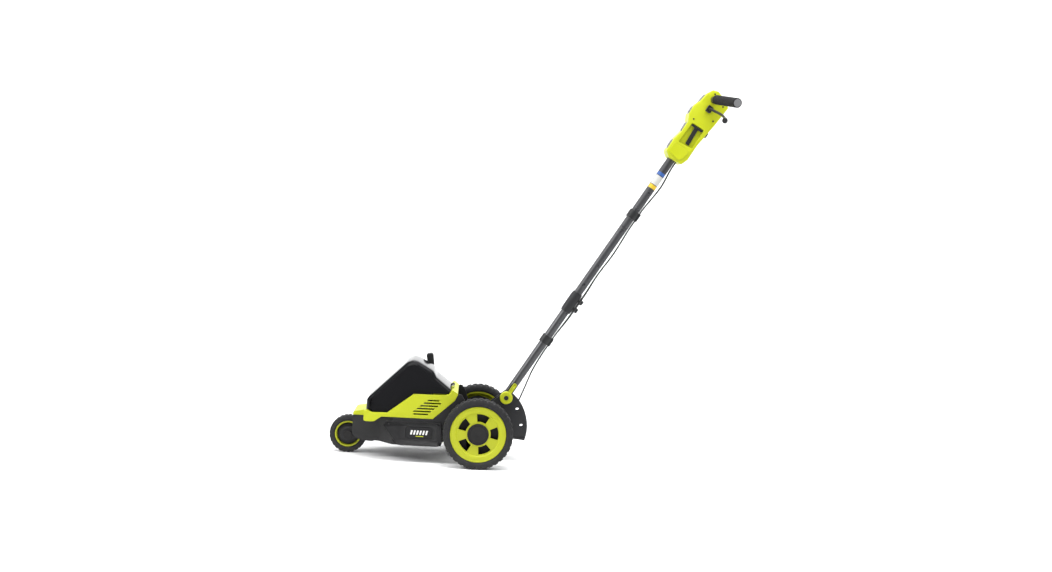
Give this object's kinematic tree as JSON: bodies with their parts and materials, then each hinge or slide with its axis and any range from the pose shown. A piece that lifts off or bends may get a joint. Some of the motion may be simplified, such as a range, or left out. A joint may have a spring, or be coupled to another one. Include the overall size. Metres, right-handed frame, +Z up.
{
  "type": "cordless lawn edger",
  "caption": "Walk-behind battery lawn edger: wheeled deck with a lift-up battery cover, guarded side blade lowered by a lever, and a fold-down handle with bail and start button.",
  "frame": {"origin": "on the ground, midway along the machine's length and width", "axes": "+Z up, +X from the front wheel towards the operator, +Y towards the blade side"},
  "size_m": [1.1325, 0.407, 1.1339],
  "materials": {
    "lime_plastic": "satin",
    "black_plastic": "fine grain",
    "gloss_black": "polished",
    "tyre_rubber": "matt",
    "foam": "open-cell foam",
    "painted_steel": "satin powder coat",
    "painted_bar": "satin powder coat",
    "bright_steel": "machined",
    "cable_sheath": "matt",
    "grey_plastic": "matt",
    "battery_grey": "matt"
  },
  "bodies": {
    "chassis": {"rear_axle": "bright_steel", "front_fork": "painted_steel", "front_axle": "black_plastic", "lower_housing": "black_plastic", "deck_band": "lime_plastic", "battery_deck": "black_plastic", "battery_pack": "battery_grey", "cover_hinge_pin": "bright_steel", "motor_can": "painted_steel", "motor_controller": "battery_grey", "depth_quadrant": "bright_steel", "handle_bracket": "painted_steel", "handle_pivot_bolt": "bright_steel"},
    "near_wheel": {"near_tyre": "tyre_rubber", "near_rim": "lime_plastic", "near_wheel_bush": "grey_plastic", "near_hub_cap": "black_plastic"},
    "far_wheel": {"far_tyre": "tyre_rubber", "far_rim": "lime_plastic", "far_wheel_bush": "grey_plastic", "far_hub_cap": "black_plastic"},
    "front_wheel": {"front_tyre": "tyre_rubber", "front_rim": "lime_plastic"},
    "motor_drive": {"motor_rotor": "bright_steel", "drive_pulley": "bright_steel"},
    "blade_arm": {"belt_case": "black_plastic", "arm_pivot_bush": "bright_steel", "spindle_bearing": "bright_steel", "drive_belt": "cable_sheath", "blade_guard": "black_plastic", "depth_lever": "painted_steel", "depth_lever_grip": "black_plastic"},
    "blade": {"blade_spindle": "bright_steel", "spindle_pulley": "bright_steel", "edger_blade": "bright_steel", "blade_nut": "bright_steel"},
    "cover": {"battery_cover": "gloss_black"},
    "handle": {"lower_tube": "painted_steel", "upper_tube": "painted_steel", "tube_coupler": "black_plastic", "lower_coupler_knob": "black_plastic", "upper_coupler_knob": "black_plastic", "cable_clip_1": "black_plastic", "cable_clip_2": "black_plastic", "lock_strap": "black_plastic", "lock_pin": "bright_steel", "near_control_shell": "lime_plastic", "far_control_shell": "lime_plastic", "handlebar": "painted_bar", "near_grip": "foam", "far_grip": "foam", "bar_clamp": "grey_plastic", "near_bail_block": "black_plastic", "far_bail_block": "black_plastic", "switch_module": "grey_plastic", "power_cable": "cable_sheath", "bail_cable": "cable_sheath"},
    "lock": {"lock_lever": "lime_plastic"},
    "bail": {"bail_lever": "black_plastic"},
    "button": {"start_button": "gloss_black"}
  },
  "joints": [
    {"name": "near_wheel_spin", "type": "hinge", "parent": "chassis", "child": "near_wheel", "pos_m": [-0.12297, -0.1425, 0.1016], "axis": [0, 1, 0], "continuous": true},
    {"name": "far_wheel_spin", "type": "hinge", "parent": "chassis", "child": "far_wheel", "pos_m": [-0.12297, 0.1425, 0.1016], "axis": [0, 1, 0], "continuous": true},
    {"name": "front_wheel_spin", "type": "hinge", "parent": "chassis", "child": "front_wheel", "pos_m": [-0.50997, 0.015, 0.0555], "axis": [0, 1, 0], "continuous": true},
    {"name": "depth_pivot", "type": "hinge", "parent": "chassis", "child": "blade_arm", "pos_m": [-0.19797, 0.1025, 0.105], "axis": [0, -1, 0], "range_deg": [0, 24]},
    {"name": "motor_spin", "type": "hinge", "parent": "chassis", "child": "motor_drive", "pos_m": [-0.19797, 0, 0.105], "axis": [0, 1, 0], "continuous": true},
    {"name": "blade_spin", "type": "hinge", "parent": "blade_arm", "child": "blade", "pos_m": [-0.33797, 0.14, 0.122], "axis": [0, 1, 0], "continuous": true},
    {"name": "cover_hinge", "type": "hinge", "parent": "chassis", "child": "cover", "pos_m": [-0.20347, 0, 0.2165], "axis": [0, 1, 0], "range_deg": [0, 80]},
    {"name": "handle_fold", "type": "hinge", "parent": "chassis", "child": "handle", "pos_m": [-0.09897, 0, 0.1026], "axis": [0, 1, 0], "range_deg": [0, 56], "deforming": ["power_cable", "bail_cable"]},
    {"name": "lock_lever_turn", "type": "hinge", "parent": "handle", "child": "lock", "pos_m": [-0.04384, -0.03, 0.19196], "axis": [0, 1, 0], "range_deg": [0, 90]},
    {"name": "bail_squeeze", "type": "hinge", "parent": "handle", "child": "bail", "pos_m": [0.50527, 0, 1.07637], "axis": [0, -1, 0], "range_deg": [0, 30], "stiffness_Nm_per_rad": 0.5, "springref_deg": -34.38},
    {"name": "start_button_press", "type": "slide", "parent": "handle", "child": "button", "axis": [-0.8511, 0, 0.525], "range_m": [0, 0.003], "stiffness_N_per_m": 400, "springref_m": -0.002}
  ],
  "couplings": [
    {"joint": "blade_spin", "follows": "motor_spin", "ratio": 0.6}
  ]
}
